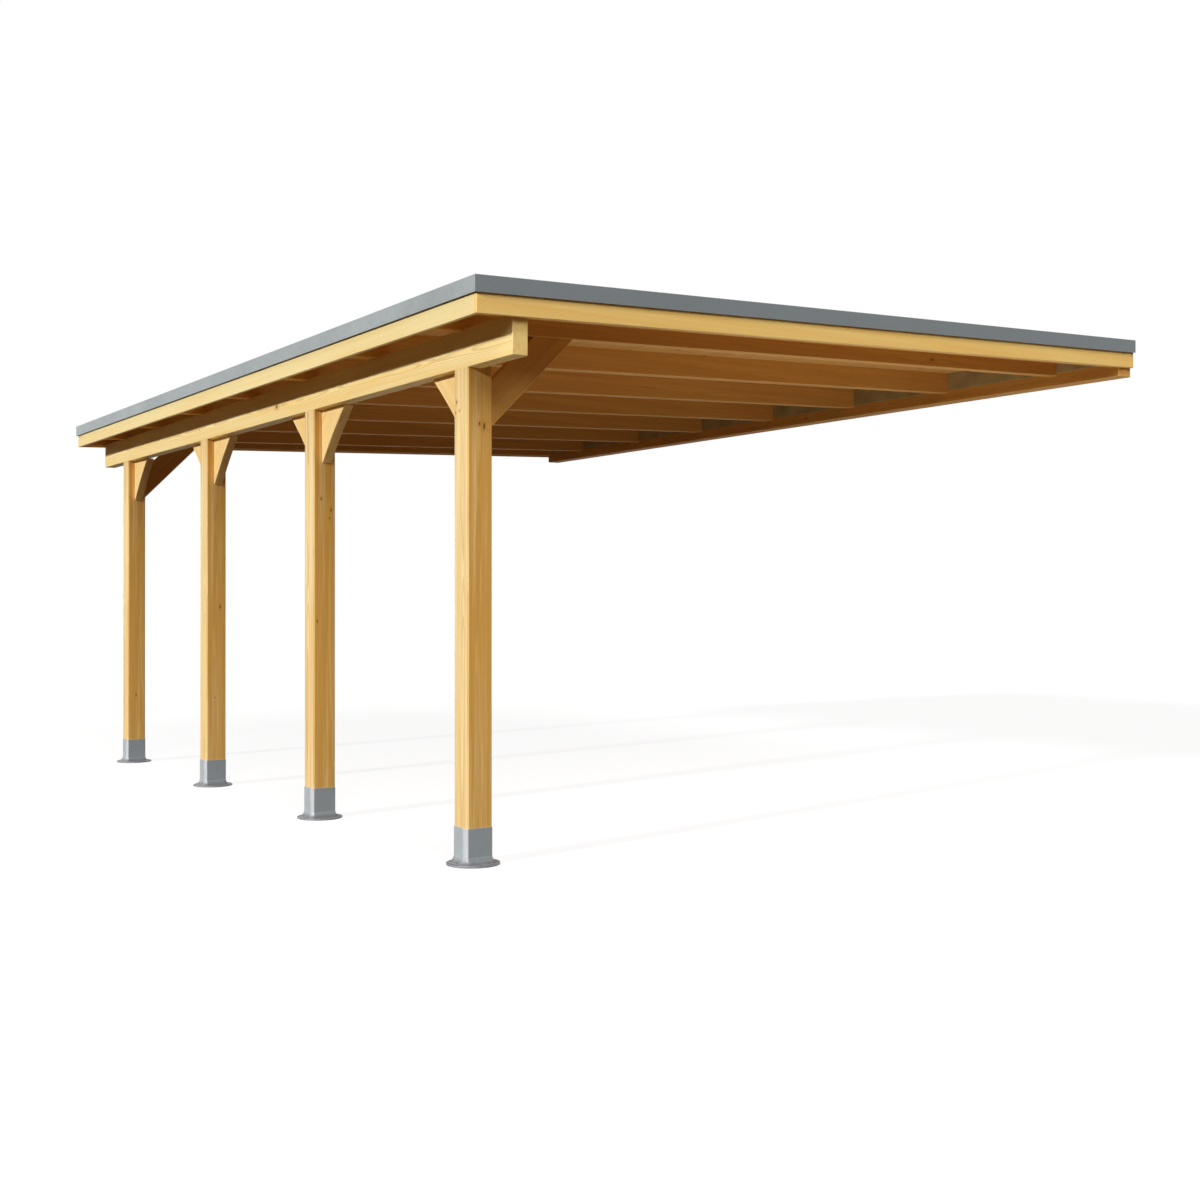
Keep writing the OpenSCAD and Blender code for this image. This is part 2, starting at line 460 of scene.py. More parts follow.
@dataclass(frozen=True)
class TimberFinish:
    """Sawn and planed softwood with a clear honey-coloured glaze.

    Rings lie around the pith, so faces show lines and cut ends show arcs. Knots are
    branches that leave the pith sideways, at most one to a stretch of the timber.

    Attributes:
        pale: The colour of the palest wood.
        deep: The colour of the deepest wood.
        late_wood: The colour of the dark line in each ring.
        knot_colour: The colour of a knot.
        halo_colour: The colour around a knot.
        worn: The colour of rubbed edges.
        depth: The usual share of the deep colour.
        gable_face_shade: How much more of it the faces towards the gables have, as painted shade.
        ring: The width of a ring, in metres.
        late_share: How strongly the rings show.
        late_rise: Where in a ring the late wood starts, and where it is darkest.
        bend: How far the rings bend round a knot, in metres.
        sway: How far the rings wander, in metres.
        sways: How often they do so in a metre across the grain, and along it as a share of that.
        knot_stretch: The length of timber that has one knot at most, in metres.
        knot_radius: The radius of the largest knot, in metres.
        knot_squash: A knot's width as a share of its length.
        knot_edge: Where a knot fades out, in its radii.
        halo_edge: Where the colour around it fades out, in its radii.
        knot_share: How strongly a knot shows.
        halo_share: How strongly the colour around it shows.
        bare_share: The share of stretches without a knot.
        fan: The angle that branches spread over about their heading, in radians.
        streaks: Streaks in a metre across the grain, and along it as a share of that.
        clouds: Clouds of tone, in the same way.
        fibres: Fibres, in the same way.
        streak_change: How far the streaks change the tone.
        cloud_change: How far the clouds change it.
        wear: The least and the largest share of the worn colour on rubbed edges.
        relief: The depth of the grain's relief, in metres.
        fibre_relief: The fibres' part in it.
        ring_relief: The rings' part in it.
        knot_relief: The knots' part in it.
        roughness: How rough it is, and how much the fibres add.
        sheen: The level of its gloss.
        board_pith: How far the pith lies off a board and how much that varies, in metres.
        board_shift: How far the pattern moves on from one board to the next, in metres.
    """

    pale: Colour
    deep: Colour
    late_wood: Colour = (0.50, 0.265, 0.070)
    knot_colour: Colour = (0.17, 0.070, 0.018)
    halo_colour: Colour = (0.52, 0.270, 0.065)
    worn: Colour = (0.97, 0.78, 0.40)
    depth: float = 0.25
    gable_face_shade: float = 0.0
    ring: float = 0.0065
    late_share: float = 0.34
    late_rise: tuple[float, float] = (0.35, 0.9)
    bend: float = 0.012
    sway: float = 0.05
    sways: tuple[float, float] = (3.5, 0.3)
    knot_stretch: float = 0.62
    knot_radius: float = 0.010
    knot_squash: float = 0.55
    knot_edge: tuple[float, float] = (0.5, 1.15)
    halo_edge: tuple[float, float] = (0.8, 4.5)
    knot_share: float = 0.88
    halo_share: float = 0.5
    bare_share: float = 0.45
    fan: float = 0.35
    streaks: tuple[float, float] = (42.0, 0.025)
    clouds: tuple[float, float] = (5.0, 0.2)
    fibres: tuple[float, float] = (620.0, 0.02)
    streak_change: float = 1.5
    cloud_change: float = 0.7
    wear: tuple[float, float] = (0.2, 0.7)
    relief: float = 0.0006
    fibre_relief: float = 0.35
    ring_relief: float = 0.5
    knot_relief: float = -0.4
    roughness: tuple[float, float] = (0.48, 0.22)
    sheen: float = 0.05
    board_pith: tuple[float, float] = (0.05, 0.03)
    board_shift: float = 7.3

    def material(self, name: str, cut: Cut, spots: Sequence[Spot] = ()) -> Material:
        """The finish of one timber.

        Args:
            name: The material's name.
            cut: How the timber lies in its tree.
            spots: Knots at chosen places, each with its middle.

        Returns:
            The material.
        """
        graph = Graph(name)
        place = self._boarded(graph, graph.place(cut.pith, cut.grain), cut)
        knot, near_knot = self._branches(graph, place, cut)
        knot, near_knot = self._chosen_knots(graph, cut.grain, spots, knot, near_knot)
        late = self._rings(graph, place, near_knot)
        streak = graph.streaks(place, *self.streaks, detail=4.0)
        cloud = graph.streaks(place, *self.clouds)
        fibre = graph.streaks(place, *self.fibres)
        tone = graph.vary(cloud, self.cloud_change, graph.vary(streak, self.streak_change, self.depth))
        # Painted shade: the faces towards the gables get more of the deep colour.
        tone = graph.math("MULTIPLY_ADD", graph.facing(ALONG_THE_EAVE), self.gable_face_shade, tone, clamp=True)
        colour = graph.mix(tone, rgba(self.pale), rgba(self.deep))
        colour = graph.mix(graph.times(late, self.late_share), colour, rgba(self.late_wood))
        halo = graph.times(graph.math("POWER", near_knot, 2.0), self.halo_share)
        colour = graph.mix(halo, colour, rgba(self.halo_colour))
        colour = graph.mix(graph.times(knot, self.knot_share), colour, rgba(self.knot_colour))
        wear = graph.on_edges(graph.spread(cloud, 0.35, 0.7, *self.wear))
        colour = graph.mix(wear, colour, rgba(self.worn))
        height = graph.times(late, self.ring_relief)
        height = graph.math("MULTIPLY_ADD", fibre, self.fibre_relief, height)
        height = graph.math("MULTIPLY_ADD", knot, self.knot_relief, height)
        graph.bump(height, 0.35, self.relief)
        smooth, added = self.roughness
        rough = graph.math("MULTIPLY_ADD", fibre, added, smooth)
        graph.surface(Base_Color=colour, Roughness=rough, Specular_IOR_Level=self.sheen)
        return graph.material

    def _boarded(self, graph: Graph, place: Socket, cut: Cut) -> Socket:
        """The place in a timber, or in each board of a row of boards.

        Args:
            graph: The material's nodes.
            place: The place in the whole piece's own axes.
            cut: How the timber lies in its tree.

        Returns:
            The place in the board's own axes.
        """
        if not cut.boards:
            return place
        x, y, z = graph.split(place)
        number = graph.math("FLOOR", graph.math("DIVIDE", x, cut.boards))
        across = graph.math("SUBTRACT", graph.math("FLOORED_MODULO", x, cut.boards), cut.boards / 2)
        away, change = self.board_pith
        sunk = graph.math("ADD", y, graph.math("MULTIPLY_ADD", graph.math("SINE", number), change, away))
        return graph.join(across, sunk, graph.math("MULTIPLY_ADD", number, self.board_shift, z))

    def _rings(self, graph: Graph, place: Socket, near_knot: Socket) -> Socket:
        """The share of dark late wood, in rings that bend round the knots.

        Args:
            graph: The material's nodes.
            place: The place in the timber's own axes.
            near_knot: How near a knot is, from 0 to 1.

        Returns:
            A number from 0 to 1.
        """
        scale, share = self.sways
        sway = graph.noise_node(graph.drawn_out(place, share), scale).outputs["Color"]
        sway = graph.vector("SUBTRACT", sway, (0.5, 0.5, 0.5))
        sway = graph.vector("MULTIPLY", sway, (self.sway, self.sway, 0.0))
        across = graph.vector("ADD", graph.drawn_out(place, 0.0), sway)
        radius = graph.math("MULTIPLY_ADD", near_knot, self.bend, graph.vector("LENGTH", across))
        turn = graph.math("FRACT", graph.math("DIVIDE", radius, self.ring))
        start, darkest = self.late_rise
        rise = graph.spread(turn, start, darkest, 0.0, 1.0)
        return graph.times(rise, graph.spread(turn, darkest, 1.0, 1.0, 0.0))

    def _branch_angle(self, graph: Graph, draw: Socket, jitter: Socket, cut: Cut) -> Socket:
        """The way a branch leaves the pith.

        Args:
            graph: The material's nodes.
            draw: A random number for the stretch.
            jitter: Another one.
            cut: How the timber lies in its tree.

        Returns:
            An angle about the grain, in radians.
        """
        wobble = graph.times(graph.math("SUBTRACT", jitter, 0.5), self.fan)
        if cut.heading is not None:
            return graph.math("ADD", wobble, cut.heading)
        side = graph.math("FLOOR", graph.times(draw, 4.0))
        return graph.math("MULTIPLY_ADD", side, math.pi / 2, wobble)

    def _branches(self, graph: Graph, place: Socket, cut: Cut) -> tuple[Socket, Socket]:
        """Knots where branches leave the pith, at most one in the middle half of each stretch.

        Args:
            graph: The material's nodes.
            place: The place in the timber's own axes.
            cut: How the timber lies in its tree.

        Returns:
            The knots' share, and how near a knot is, both from 0 to 1.
        """
        x, y, z = graph.split(place)
        stretch = graph.math("DIVIDE", z, self.knot_stretch)
        number = graph.math("FLOOR", stretch)
        draw = graph.tree.nodes.new("ShaderNodeTexWhiteNoise")
        draw.noise_dimensions = "1D"
        graph.plug(draw.inputs["W"], graph.math("ADD", number, cut.seed))
        turn, shift, size = graph.split(draw.outputs["Color"])
        angle = self._branch_angle(graph, turn, shift, cut)
        cosine = graph.math("COSINE", angle)
        sine = graph.math("SINE", angle)
        middle = graph.math("MULTIPLY_ADD", shift, 0.5, 0.25)
        along = graph.math("SUBTRACT", graph.math("FRACT", stretch), middle)
        along = graph.times(along, self.knot_stretch * self.knot_squash)
        side = graph.math("SUBTRACT", graph.times(x, sine), graph.times(y, cosine))
        ahead = graph.math("ADD", graph.times(x, cosine), graph.times(y, sine))
        outward = graph.math("GREATER_THAN", ahead, 0.0)
        away = graph.math("ADD", graph.times(side, side), graph.times(along, along))
        radius = graph.times(graph.spread(size, self.bare_share, 1.0, NO_KNOT, 1.0), self.knot_radius)
        share = graph.math("DIVIDE", graph.math("SQRT", away), radius)
        knot = graph.times(graph.spread(share, *self.knot_edge, 1.0, 0.0), outward)
        near = graph.times(graph.spread(share, *self.halo_edge, 1.0, 0.0), outward)
        return knot, near

    def _chosen_knots(
        self, graph: Graph, grain: Grain, spots: Sequence[Spot], share: Socket, near: Socket
    ) -> tuple[Socket, Socket]:
        """Adds the knots at chosen places.

        Args:
            graph: The material's nodes.
            grain: The direction of the grain.
            spots: The chosen knots, each with its middle.
            share: The knots' share so far.
            near: How near a knot is so far.

        Returns:
            Both numbers with these knots.
        """
        for knot, middle in spots:
            place = graph.place(middle, grain)
            away = graph.vector("LENGTH", graph.drawn_out(place, 1.0 / knot.stretch))
            away = graph.math("DIVIDE", away, knot.radius)
            share = graph.math("MAXIMUM", share, graph.spread(away, *knot.edge, knot.dark, 0.0))
            near = graph.math("MAXIMUM", near, graph.spread(away, *knot.halo, knot.halo_dark, 0.0))
        return share, near


class Finish:
    """A finish that covers pieces in the frame's own axes."""

    def material(self, name: str) -> Material:
        """The finish under a name.

        Args:
            name: The material's name.

        Returns:
            The material.
        """
        graph = Graph(name)
        self._paint(graph, graph.place(Vector(), Grain.UPRIGHT))
        return graph.material

    def _paint(self, graph: Graph, place: Socket) -> None:
        """Wires the surface, each finish in its own way."""
        raise NotImplementedError


@dataclass(frozen=True)
class ZincFinish(Finish):
    """Folded sheet metal, blue-grey and satin, a little cloudy and brighter on its bends, with painted shade
    on the faces towards the gables.

    Clouds, mottles and specks are numbers of them in a metre, and the relief is in metres.
    """

    colour: Colour = (0.335, 0.375, 0.380)
    # Painted shade for the faces towards the gables.
    shaded_side_colour: Colour = (0.178, 0.203, 0.216)
    cloud_colour: Colour = (0.150, 0.172, 0.184)
    bend_colour: Colour = (0.50, 0.54, 0.55)
    cloudiness: float = 0.25
    mottling: float = 0.12
    clouds: float = 2.6
    mottles: float = 26.0
    specks: float = 190.0
    bend_share: float = 0.55
    roughness: float = 0.30
    relief: float = 0.0008
    metallic: float = 0.12

    def _paint(self, graph: Graph, place: Socket) -> None:
        """Wires the surface.

        Args:
            graph: The material's nodes.
            place: The place on the piece.
        """
        cloud = graph.noise(place, self.clouds, 4.0)
        mottle = graph.noise(place, self.mottles, 3.0)
        speck = graph.noise(place, self.specks)
        # Painted shade: the faces towards the gables take the darker colour.
        colour = graph.mix(graph.facing(ALONG_THE_EAVE), rgba(self.colour), rgba(self.shaded_side_colour))
        clouded = graph.spread(cloud, 0.3, 0.7, 0.0, self.cloudiness)
        dull = graph.math("ADD", clouded, graph.spread(mottle, 0.4, 0.7, 0.0, self.mottling))
        colour = graph.mix(dull, colour, rgba(self.cloud_colour))
        bend = graph.on_edges(self.bend_share)
        colour = graph.mix(bend, colour, rgba(self.bend_colour))
        rough = graph.math("MULTIPLY_ADD", cloud, 0.12, self.roughness)
        rough = graph.math("MULTIPLY_ADD", speck, 0.16, rough)
        graph.bump(graph.math("MULTIPLY_ADD", speck, 0.25, cloud), 0.10, self.relief)
        graph.surface(Base_Color=colour, Roughness=rough, Metallic=self.metallic)


@dataclass(frozen=True)
class GalvanisedFinish(Finish):
    """Hot-dipped steel with a faint spangle, a painted highlight band by the front corner and on the rounded
    edges, painted shade on the faces towards the gables, and a dull foot.

    The painted highlight band fades out along the eave between two distances from a post's middle, and the
    foot between two heights. The pattern repeats from post to post, and starts a reach before the first.
    Spangles are a number of them in a metre, and so are runs, with their share along the height.
    """

    first_post: float
    spacing: float
    colour: Colour = (0.366, 0.410, 0.426)
    # Painted highlight, on the band by the front corner and on the rounded edges.
    painted_highlight: Colour = (0.62, 0.62, 0.66)
    # Painted shade for the faces towards the gables.
    shaded_side_colour: Colour = (0.232, 0.264, 0.280)
    dull: Colour = (0.180, 0.184, 0.202)
    highlight_band: tuple[float, float] = (-0.036, -0.012)
    foot: tuple[float, float] = (0.010, 0.040)
    reach: float = 0.5
    spangles: float = 55.0
    runs: tuple[float, float] = (34.0, 0.12)
    highlight_band_share: float = 0.85
    foot_share: float = 0.85
    edge_share: float = 0.6
    roughness: float = 0.28
    relief: float = 0.0006
    metallic: float = 0.15

    def _paint(self, graph: Graph, place: Socket) -> None:
        """Wires the surface.

        Args:
            graph: The material's nodes.
            place: The place on the piece.
        """
        spangle = graph.cells(place, self.spangles)
        runs = graph.streaks(place, *self.runs, detail=3.0)
        _, y, height = graph.split(place)
        y = graph.math("SUBTRACT", y, self.first_post - self.reach)
        y = graph.math("SUBTRACT", graph.math("FLOORED_MODULO", y, self.spacing), self.reach)
        # Painted highlight: a bright band on the faces across the roof, by the corner towards the near
        # gable.
        highlight_band = graph.spread(y, *self.highlight_band, self.highlight_band_share, 0.0)
        highlight_band = graph.times(highlight_band, graph.facing(DOWN_THE_ROOF))
        # Painted shade: the faces towards the gables take the darker colour.
        colour = graph.mix(graph.facing(ALONG_THE_EAVE), rgba(self.colour), rgba(self.shaded_side_colour))
        colour = graph.mix(highlight_band, colour, rgba(self.painted_highlight))
        dull = graph.vary(runs, 0.7, graph.spread(height, *self.foot, self.foot_share, 0.0))
        dull = graph.vary(spangle, 0.2, dull, clamp=True)
        colour = graph.mix(dull, colour, rgba(self.dull))
        # Painted highlight on the rounded edges.
        edge = graph.on_edges(self.edge_share)
        colour = graph.mix(edge, colour, rgba(self.painted_highlight))
        rough = graph.math("MULTIPLY_ADD", runs, 0.18, self.roughness)
        rough = graph.math("MULTIPLY_ADD", spangle, 0.14, rough)
        graph.bump(graph.math("MULTIPLY_ADD", spangle, 0.3, runs), 0.10, self.relief)
        graph.surface(Base_Color=colour, Roughness=rough, Metallic=self.metallic)


@dataclass(frozen=True)
class MembraneFinish(Finish):
    """Grey roofing sheets, each of its own tone, with fine mineral grit and faint water marks.

    The tones follow a sine from sheet to sheet, in steps of so many radians. Grits and marks are so
    many to a metre, and the marks are drawn out down the roof, where a metre counts for their run.
    """

    first_edge: float
    sheet_width: float
    colour: Colour = (0.135, 0.142, 0.148)
    pale: Colour = (0.232, 0.241, 0.246)
    grits: float = 520.0
    grit_share: float = 0.45
    marks: float = 3.2
    mark_run: float = 0.35
    mark_share: float = 0.4
    roughness: float = 0.78
    relief: float = 0.0012
    tone_change: float = 0.16
    tone_step: float = 2.1

    def _paint(self, graph: Graph, place: Socket) -> None:
        """Wires the surface.

        Args:
            graph: The material's nodes.
            place: The place on the piece.
        """
        grit = graph.cells(place, self.grits)
        marks = graph.noise(graph.vector("MULTIPLY", place, (self.mark_run, 1.0, 1.0)), self.marks, 5.0)
        share = graph.spread(marks, 0.4, 0.75, 0.0, self.mark_share)
        share = graph.math("MULTIPLY_ADD", grit, self.grit_share, share)
        across = graph.math("SUBTRACT", graph.split(place)[1], self.first_edge)
        number = graph.math("FLOOR", graph.math("DIVIDE", across, self.sheet_width))
        tone = graph.math("SINE", graph.times(number, self.tone_step))
        share = graph.math("MULTIPLY_ADD", tone, self.tone_change, share, clamp=True)
        colour = graph.mix(share, rgba(self.colour), rgba(self.pale))
        graph.bump(graph.math("MULTIPLY_ADD", marks, 0.4, grit), 0.4, self.relief)
        graph.surface(Base_Color=colour, Roughness=graph.math("MULTIPLY_ADD", grit, 0.15, self.roughness))


@dataclass(frozen=True)
class BoardFinish(Finish):
    """Pale fibre board with so many fine grits and soft stains in a metre."""

    colour: Colour = (0.52, 0.44, 0.24)
    stain: Colour = (0.39, 0.32, 0.165)
    grits: float = 420.0
    stains: float = 7.0
    edge_share: float = 0.3
    roughness: float = 0.7
    relief: float = 0.0006
    sheen: float = 0.1

    def _paint(self, graph: Graph, place: Socket) -> None:
        """Wires the surface.

        Args:
            graph: The material's nodes.
            place: The place on the piece.
        """
        grit = graph.noise(place, self.grits)
        cloud = graph.noise(place, self.stains, 4.0)
        worn = graph.on_edges(self.edge_share)
        share = graph.math("SUBTRACT", graph.spread(cloud, 0.3, 0.75, 0.0, 1.0), worn, clamp=True)
        colour = graph.mix(share, rgba(self.colour), rgba(self.stain))
        graph.bump(graph.math("MULTIPLY_ADD", cloud, 0.4, grit), 0.3, self.relief)
        rough = graph.math("MULTIPLY_ADD", grit, 0.2, self.roughness)
        graph.surface(Base_Color=colour, Roughness=rough, Specular_IOR_Level=self.sheen)


@dataclass(frozen=True)
class PlatedFinish(Finish):
    """Zinc-plated screws and bolts, dulled by the weather in so many patches a metre."""

    colour: Colour = (0.30, 0.27, 0.22)
    dull: Colour = (0.13, 0.105, 0.075)
    patches: float = 260.0
    roughness: float = 0.35
    relief: float = 0.0003
    metallic: float = 0.8

    def _paint(self, graph: Graph, place: Socket) -> None:
        """Wires the surface.

        Args:
            graph: The material's nodes.
            place: The place on the piece.
        """
        cloud = graph.noise(place, self.patches, 3.0)
        colour = graph.mix(cloud, rgba(self.colour), rgba(self.dull))
        graph.bump(cloud, 0.2, self.relief)
        rough = graph.math("MULTIPLY_ADD", cloud, 0.3, self.roughness)
        graph.surface(Base_Color=colour, Roughness=rough, Metallic=self.metallic)


BEAM_TIMBER = TimberFinish(pale=(0.98, 0.790, 0.385), deep=(0.90, 0.600, 0.175), depth=0.2, gable_face_shade=0.5)
BRACE_TIMBER = TimberFinish(pale=(0.97, 0.725, 0.335), deep=(0.80, 0.470, 0.128))
POST_TIMBER = TimberFinish(
    pale=(0.94, 0.762, 0.400), deep=(0.65, 0.354, 0.079), gable_face_shade=0.7,
    knot_stretch=1.1, knot_radius=0.004,
)
# Painted shade: a deeper, more orange copy of the frame wood for the rafters, struts and wall beam under the
# roof.
SHADED_ROOF_TIMBER = TimberFinish(
    pale=(0.84, 0.470, 0.135), deep=(0.64, 0.312, 0.072), worn=(0.95, 0.720, 0.220),
    depth=0.5, knot_radius=0.006,
)
EAVE_BOARD = TimberFinish(
    pale=(0.88, 0.745, 0.388), deep=(0.82, 0.600, 0.232), depth=0.2,
    ring=0.005, sway=0.02, knot_radius=0.003,
)
# Painted light and shade: the gable boards' own copy of the fascia wood, redder and more saturated than the
# eave board, for how the gable faces are lit.
GABLE_BOARD = TimberFinish(
    pale=(0.98, 0.690, 0.240), deep=(0.88, 0.520, 0.130), depth=0.25,
    ring=0.005, sway=0.02, knot_radius=0.003,
)
DECK_BOARD = TimberFinish(pale=(0.83, 0.510, 0.190), deep=(0.67, 0.375, 0.110), depth=0.4, ring=0.005)


def convex_edges(shape: Shape) -> list[bmesh.types.BMEdge]:
    """The edges of a shape that stand out sharply."""
    return [e for e in shape.edges if e.is_manifold and e.is_convex and e.calc_face_angle() > SHARP_ANGLE]


def round_edges(shape: Shape, edges: list[bmesh.types.BMEdge], radius: float, segments: int = 2) -> None:
    """Rounds edges, and marks the new faces as worn and smooth.

    Args:
        shape: The shape.
        edges: Its edges to round.
        radius: How far back the rounding starts.
        segments: Steps across the rounding.
    """
    mark = shape.faces.layers.float.get(ARRIS) or shape.faces.layers.float.new(ARRIS)
    made = bmesh.ops.bevel(
        shape, geom=edges, offset=radius, offset_type="OFFSET", affect="EDGES",
        segments=segments, profile=0.5, material=-1, clamp_overlap=True,
    )
    for face in made["faces"]:
        face[mark] = 1.0
        face.smooth = True


def merged_copy(node: str) -> Shape:
    """A copy of a solid with whole flat faces.

    Args:
        node: The solid's name.

    Returns:
        The new shape.
    """
    shape = bmesh.new()
    shape.from_mesh(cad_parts[node].data)
    bmesh.ops.remove_doubles(shape, verts=shape.verts, dist=MERGE_DISTANCE)
    bmesh.ops.dissolve_limit(shape, angle_limit=FLAT_ANGLE, verts=shape.verts, edges=shape.edges)
    for face in shape.faces:
        face.smooth = False
    return shape


def softened_copy(node: str, radius: float) -> Shape:
    """A copy of a solid with its outer edges rounded.

    Args:
        node: The solid's name.
        radius: How far back the rounding starts, in metres.

    Returns:
        The new shape.
    """
    shape = merged_copy(node)
    round_edges(shape, convex_edges(shape), radius)
    return shape


def finish_piece(shape: Shape, name: str, material: Material, slot: Slot, *stands_for: str) -> None:
    """Makes a piece from a shape and puts it on the frame.

    Its points and faces are sorted, so that each run gives the same mesh.

    Args:
        shape: The finished shape, in the frame's own axes.
        name: The piece's name.
        material: Its finish.
        slot: The record's slot for that finish; not used.
        stands_for: The solids that it replaces.
    """
    bmesh.ops.dissolve_degenerate(shape, dist=MERGE_DISTANCE, edges=shape.edges)
    shape.verts.sort(key=lambda vert: vert.co.dot(ORDER_AXIS))
    shape.faces.sort(key=lambda face: face.calc_center_median().dot(ORDER_AXIS))
    mesh = bpy.data.meshes.new(name)
    shape.to_mesh(mesh)
    shape.free()
    mesh.materials.append(material)
    piece = bpy.data.objects.new(name, mesh)
    bpy.context.scene.collection.objects.link(piece)
    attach(piece, BODY)
    if stands_for:
        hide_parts(*stands_for)
    LOG.info("%s: %d faces", name, len(mesh.polygons))


@dataclass
class TimberGroup:
    """Timbers of one kind, each cut from its solid with its edges planed round.

    Attributes:
        nodes: The solids, each with the direction of its grain.
        finish: The wood.
        seed: Sets the knots of the first timber.
        slot: The record's slot for it.
        arris: How far back the round edges start, in metres.
        pith_offset: How far the pith lies from a timber's middle, to one side and the other by turns.
        knots: Knots at chosen places, by solid.
        side_cut: Whether all are boards from beside the pith, with branches that head for the board.
    """

    nodes: dict[str, Grain]
    finish: TimberFinish
    seed: float
    slot: Slot = Slot.FRAME
    arris: float = 0.003
    pith_offset: Vector = field(default_factory=lambda: Vector((0.012, 0.016, 0.010)))
    knots: dict[str, tuple[Knot, ...]] = field(default_factory=dict)
    side_cut: bool = False

    def build(self) -> None:
        """Builds and dresses each timber."""
        for number, (node, grain) in enumerate(self.nodes.items()):
            cut = self._cut(number, node, grain)
            spots = [(knot, knot.place(*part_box(node))) for knot in self.knots.get(node, ())]
            material = self.finish.material(f"{node}_wood", cut, spots)
            finish_piece(softened_copy(node, self.arris), f"{node}_timber", material, self.slot, node)

    def _cut(self, number: int, node: str, grain: Grain) -> Cut:
        """How one timber lies in its tree.

        Args:
            number: The timber's number in the group.
            node: Its solid's name.
            grain: The direction of its grain.

        Returns:
            The cut.
        """
        low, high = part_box(node)
        shift = self.pith_offset if self.side_cut or number % 2 else -self.pith_offset
        pith = (low + high) / 2 + shift
        seed = self.seed + SEED_STEP * number
        if not self.side_cut:
            return Cut(pith, grain, seed)
        inward = Euler(grain.value).to_matrix().inverted() @ -shift
        return Cut(pith, grain, seed, math.atan2(inward.y, inward.x))


@dataclass
class RoofPlane:
    """The roof's slope, taken from the deck, with heights measured plumb above its foot."""

    slope: float = field(init=False)
    height: float = field(init=False)

    def __post_init__(self) -> None:
        """Reads the slope from the deck's underside."""
        low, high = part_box("roof_deck")
        points = [v.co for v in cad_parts["roof_deck"].data.vertices]
        at_wall = min(p.z for p in points if abs(p.x - high.x) < MERGE_DISTANCE)
        self.slope = (at_wall - low.z) / (high.x - low.x)
        self.height = low.z - self.slope * low.x

    def at(self, x: float) -> float:
        """The height of the deck's underside at a place across the roof."""
        return self.height + self.slope * x

    def lift(self, shape: Shape) -> None:
        """Lays a shape that was made flat onto the sloping roof.

        Args:
            shape: The shape, with its heights measured from the deck's underside.
        """
        shear = Matrix.Identity(4)
        shear[2][0] = self.slope
        shear[2][3] = self.height
        bmesh.ops.transform(shape, matrix=shear, verts=shape.verts)


def add_block(shape: Shape, low: Vector, high: Vector) -> None:
    """Adds a block between two corners.

    Args:
        shape: The shape that it is added to.
        low: The lowest corner.
        high: The highest corner.
    """
    place = Matrix.Translation((low + high) / 2) @ Matrix.Diagonal((*(high - low), 1.0))
    bmesh.ops.create_cube(shape, size=1.0, matrix=place)


def middle_along(node: str) -> float:
    """The place of a solid's middle along the eave."""
    low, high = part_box(node)
    return (low.y + high.y) / 2


@dataclass
class DeckBoards:
    """The deck's boards, laid along the eave with bevelled joints, and butted over a post by turns."""

    roof: RoofPlane
    posts: tuple[str, ...]
    board_width: float = 0.121
    joint: float = 0.0006
    bevel: float = 0.003
    seed: float = 3.0

    def build(self) -> None:
        """Builds and dresses the deck."""
        low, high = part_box("roof_deck")
        butts = [middle_along(post) for post in self.posts]
        thickness = high.z - self.roof.at(high.x)
        rows = round((high.x - low.x) / self.board_width)
        width = (high.x - low.x) / rows
        shape = bmesh.new()
        for row in range(rows):
            left = low.x + row * width
            butt = butts[row % len(butts)]
            for start, end in ((low.y, butt), (butt, high.y)):
                corner = Vector((left + self.joint, start + self.joint, 0.0))
                add_block(shape, corner, Vector((left + width - self.joint, end - self.joint, thickness)))
        round_edges(shape, convex_edges(shape), self.bevel, 1)
        self.roof.lift(shape)
        cut = Cut(Vector((low.x, 0.0, low.z)), Grain.ALONG_EAVE, self.seed, boards=width)
        finish_piece(shape, "deck_boards", DECK_BOARD.material("deck_wood", cut), Slot.DECK, "roof_deck")


@dataclass
class MembraneSheets:
    """The roof membrane: sheets from the wall to the eave, each lapped over the next."""

    roof: RoofPlane
    sheet_width: float = 1.0
    lap: float = 0.08
    lap_rise: float = 0.0014
    edge: float = 0.0006

    def build(self) -> None:
        """Builds and dresses the membrane."""
        low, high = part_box("roof_membrane")
        deck_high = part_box("roof_deck")[1].z - self.roof.at(high.x)
        top = high.z - self.roof.at(high.x)
        shape = bmesh.new()
        add_block(shape, Vector((low.x, low.y, deck_high)), Vector((high.x, high.y, top)))
        for sheet in range(1, math.ceil((high.y - low.y) / self.sheet_width)):
            start = low.y + sheet * self.sheet_width
            end = Vector((high.x, start + self.lap, top + self.lap_rise))
            add_block(shape, Vector((low.x, start, top)), end)
        round_edges(shape, convex_edges(shape), self.edge, 1)
        self.roof.lift(shape)
        material = MembraneFinish(low.y, self.sheet_width).material("roof_membrane_grit")
        finish_piece(shape, "membrane_sheets", material, Slot.MEMBRANE, "roof_membrane")


@dataclass
class PostBases:
    """The galvanised sleeves and flanges under the posts."""

    nodes: tuple[str, ...]
    edge: float = 0.0012

    def build(self) -> None:
        """Builds and dresses each base."""
        first, second = (middle_along(node) for node in self.nodes[:2])
        material = GalvanisedFinish(first, second - first).material("galvanised_steel")
        for node in self.nodes:
            finish_piece(softened_copy(node, self.edge), f"{node}_steel", material, Slot.BASE, node)


